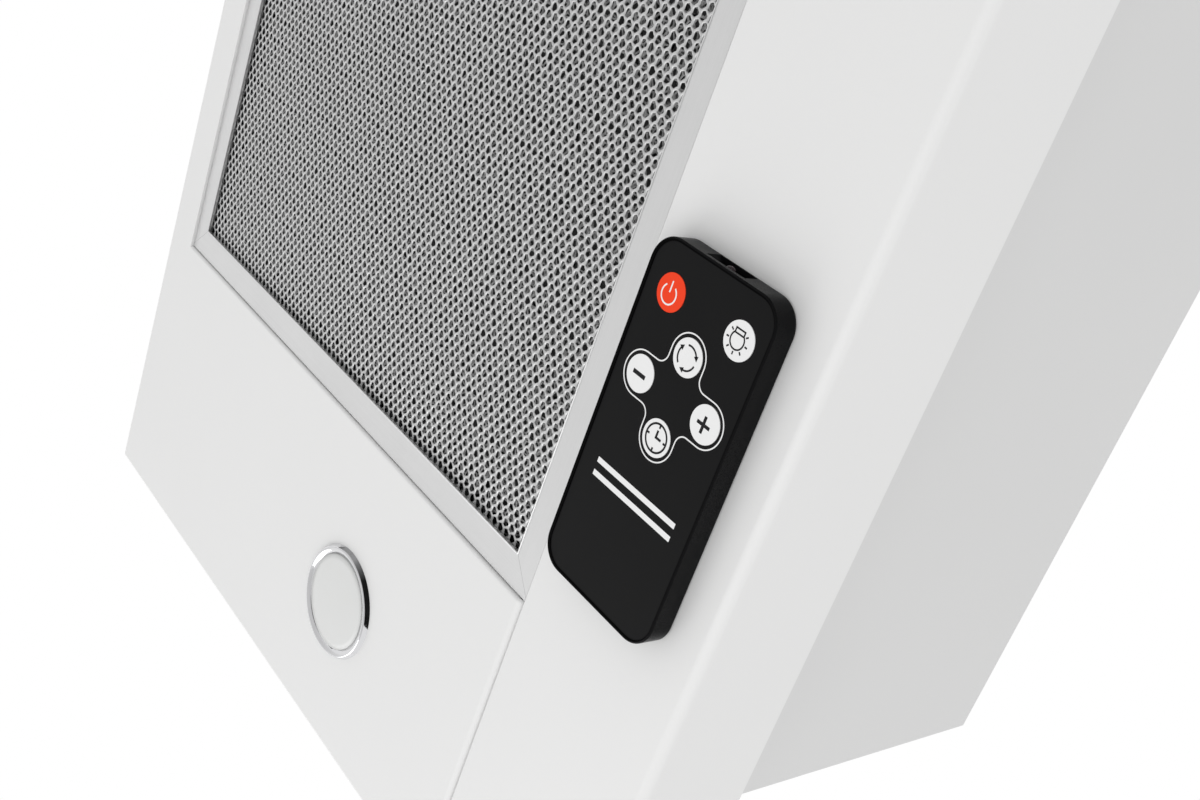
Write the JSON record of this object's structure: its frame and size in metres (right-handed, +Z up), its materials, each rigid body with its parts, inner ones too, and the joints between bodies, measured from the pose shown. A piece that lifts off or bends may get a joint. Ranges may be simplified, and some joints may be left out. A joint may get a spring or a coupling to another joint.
{
  "type": "telescopic range hood",
  "caption": "White telescopic range hood with a pull-out visor, mesh grease filter, round lamps, outlet collar with flaps, and a magnetic card remote held under the visor.",
  "frame": {"origin": "centre of the four cabinet screw holes, in the top face of the mounting plate", "axes": "+X along the hood's width, towards the end that carries the remote; +Z up, out of the mounting plate; the visor pulls out along -Y"},
  "size_m": [0.598, 0.2903, 0.2591],
  "materials": {
    "white_paint": "satin powder coat",
    "white_plastic": "fine satin",
    "filter_aluminium": "mill finish foil",
    "mesh_aluminium": "expanded foil mesh",
    "bezel_chrome": "polished",
    "lens_milky": "frosted diffuser",
    "lamp_aluminium": "die cast",
    "zinc_steel": "zinc plated",
    "latch_grey": "fine grain",
    "dark_plastic": "moulded satin",
    "motor_grey": "satin",
    "board_green": "solder resist",
    "magnet_steel": "nickel plated",
    "ir_dark": "dark tinted",
    "remote_black": "fine satin",
    "overlay_black": "smooth satin film",
    "key_red": "satin",
    "key_white": "satin"
  },
  "bodies": {
    "hood": {"base_pan": "white_paint", "front_rail": "zinc_steel", "mounting_plate": "white_paint", "housing_wrap": "white_paint", "housing_front": "white_paint", "housing_back": "white_paint", "housing_screws": "zinc_steel", "outlet_collar": "dark_plastic", "collar_screws": "zinc_steel", "flap_pin": "zinc_steel", "blower_band": "zinc_steel", "blower_side_left": "zinc_steel", "blower_side_right": "zinc_steel", "motor": "motor_grey", "motor_bracket": "zinc_steel", "control_box": "dark_plastic", "control_board": "board_green", "cable_gland": "dark_plastic", "visor_switch": "dark_plastic", "lamp_left_bezel": "bezel_chrome", "lamp_left_lens": "lens_milky", "lamp_left_body": "lamp_aluminium", "lamp_right_bezel": "bezel_chrome", "lamp_right_lens": "lens_milky", "lamp_right_body": "lamp_aluminium", "rail_outer_left": "zinc_steel", "rail_outer_right": "zinc_steel"},
    "visor": {"visor_front": "white_paint", "visor_cap_left": "white_plastic", "visor_cap_right": "white_plastic", "visor_frame": "white_paint", "visor_filter_frame": "filter_aluminium", "visor_filter_mesh": "mesh_aluminium", "rail_inner_left": "zinc_steel", "rail_inner_right": "zinc_steel", "visor_magnet": "magnet_steel", "ir_lens": "ir_dark"},
    "rail_middle_left": {"rail_middle_left": "zinc_steel"},
    "rail_middle_right": {"rail_middle_right": "zinc_steel"},
    "filter": {"filter_frame": "filter_aluminium", "filter_mesh": "mesh_aluminium"},
    "filter_latch": {"filter_latch": "latch_grey"},
    "impeller": {"impeller": "dark_plastic", "motor_shaft": "zinc_steel"},
    "flap_front": {"flap_front": "dark_plastic"},
    "flap_rear": {"flap_rear": "dark_plastic"},
    "remote": {"remote_case": "remote_black", "remote_overlay": "overlay_black", "remote_board": "board_green", "remote_ir_led": "ir_dark", "remote_magnets": "magnet_steel"},
    "remote_tray": {"remote_tray": "remote_black", "remote_cell": "magnet_steel"},
    "key_power": {"key_power": "key_red"},
    "key_light": {"key_light": "key_white"},
    "key_cycle": {"key_cycle": "key_white"},
    "key_minus": {"key_minus": "key_white"},
    "key_plus": {"key_plus": "key_white"},
    "key_timer": {"key_timer": "key_white"}
  },
  "joints": [
    {"name": "visor_slide", "type": "slide", "parent": "hood", "child": "visor", "axis": [0, -1, 0], "range_m": [0, 0.17]},
    {"name": "rail_middle_left_slide", "type": "slide", "parent": "hood", "child": "rail_middle_left", "axis": [0, -1, 0], "range_m": [0, 0.085]},
    {"name": "rail_middle_right_slide", "type": "slide", "parent": "hood", "child": "rail_middle_right", "axis": [0, -1, 0], "range_m": [0, 0.085]},
    {"name": "filter_swing", "type": "hinge", "parent": "hood", "child": "filter", "pos_m": [0, 0.1133, -0.0391], "axis": [1, 0, 0], "range_deg": [0, 40]},
    {"name": "filter_latch_slide", "type": "slide", "parent": "filter", "child": "filter_latch", "axis": [0, 1, 0], "range_m": [0, 0.005], "stiffness_N_per_m": 300},
    {"name": "remote_lift", "type": "slide", "parent": "visor", "child": "remote", "axis": [0, 0, -1], "range_m": [0, 0.06]},
    {"name": "remote_tray_slide", "type": "slide", "parent": "remote", "child": "remote_tray", "axis": [1, 0, 0], "range_m": [0, 0.026]},
    {"name": "key_power_press", "type": "slide", "parent": "remote", "child": "key_power", "axis": [0, 0, 1], "range_m": [0, 0.0004], "stiffness_N_per_m": 300},
    {"name": "key_light_press", "type": "slide", "parent": "remote", "child": "key_light", "axis": [0, 0, 1], "range_m": [0, 0.0004], "stiffness_N_per_m": 300},
    {"name": "key_cycle_press", "type": "slide", "parent": "remote", "child": "key_cycle", "axis": [0, 0, 1], "range_m": [0, 0.0004], "stiffness_N_per_m": 300},
    {"name": "key_minus_press", "type": "slide", "parent": "remote", "child": "key_minus", "axis": [0, 0, 1], "range_m": [0, 0.0004], "stiffness_N_per_m": 300},
    {"name": "key_plus_press", "type": "slide", "parent": "remote", "child": "key_plus", "axis": [0, 0, 1], "range_m": [0, 0.0004], "stiffness_N_per_m": 300},
    {"name": "key_timer_press", "type": "slide", "parent": "remote", "child": "key_timer", "axis": [0, 0, 1], "range_m": [0, 0.0004], "stiffness_N_per_m": 300},
    {"name": "flap_front_swing", "type": "hinge", "parent": "hood", "child": "flap_front", "pos_m": [0, 0, 0.1711], "axis": [-1, 0, 0], "range_deg": [0, 70]},
    {"name": "flap_rear_swing", "type": "hinge", "parent": "hood", "child": "flap_rear", "pos_m": [0, 0, 0.1711], "axis": [1, 0, 0], "range_deg": [0, 70]},
    {"name": "impeller_spin", "type": "hinge", "parent": "hood", "child": "impeller", "pos_m": [0, 0.0355, 0.0582], "axis": [1, 0, 0], "continuous": true}
  ],
  "couplings": [
    {"joint": "rail_middle_left_slide", "follows": "visor_slide", "ratio": 0.5},
    {"joint": "rail_middle_right_slide", "follows": "visor_slide", "ratio": 0.5}
  ]
}
